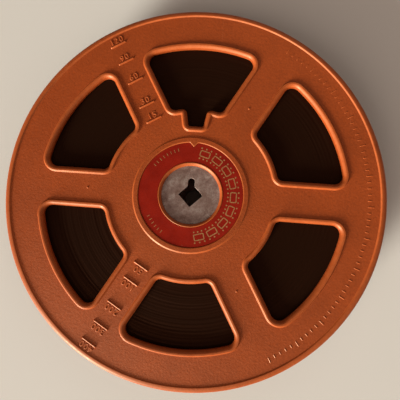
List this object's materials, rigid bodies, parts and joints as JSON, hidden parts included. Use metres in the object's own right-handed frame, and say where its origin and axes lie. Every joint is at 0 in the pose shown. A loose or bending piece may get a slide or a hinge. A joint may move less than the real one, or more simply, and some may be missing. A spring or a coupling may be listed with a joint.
{
  "type": "cine film reel",
  "caption": "Moulded plastic cine film reel with windowed flanges, raised rims, film length scales, a steel spindle plate with a keyed square hole, and a roll of film that turns on its core.",
  "frame": {"origin": "under the hub, in the plane of the rear window lips that the reel lies on", "axes": "+Z along the spindle out of the front face, +Y from the hub to the keyway and the threading notch"},
  "size_m": [0.1778, 0.1778, 0.0228],
  "materials": {
    "orange_plastic": "satin moulded plastic",
    "label_red": "glossy printed ring",
    "plate_steel": "mottled plated steel",
    "screw_steel": "plain steel",
    "film": "dark developed film"
  },
  "bodies": {
    "reel": {"front_flange": "orange_plastic", "rear_flange": "orange_plastic", "film_core": "orange_plastic", "front_spindle_plate": "plate_steel", "rear_spindle_plate": "plate_steel", "front_label_ring": "label_red", "rear_label_ring": "label_red", "front_screw_1": "screw_steel", "front_screw_2": "screw_steel", "front_screw_3": "screw_steel", "rear_screw_1": "screw_steel", "rear_screw_2": "screw_steel", "rear_screw_3": "screw_steel"},
    "film_roll": {"film_pack": "film", "film_outer_turns": "film"}
  },
  "joints": [
    {"name": "film_turn", "type": "hinge", "parent": "reel", "child": "film_roll", "pos_m": [0, 0, 0.0114], "axis": [0, 0, 1], "continuous": true}
  ]
}
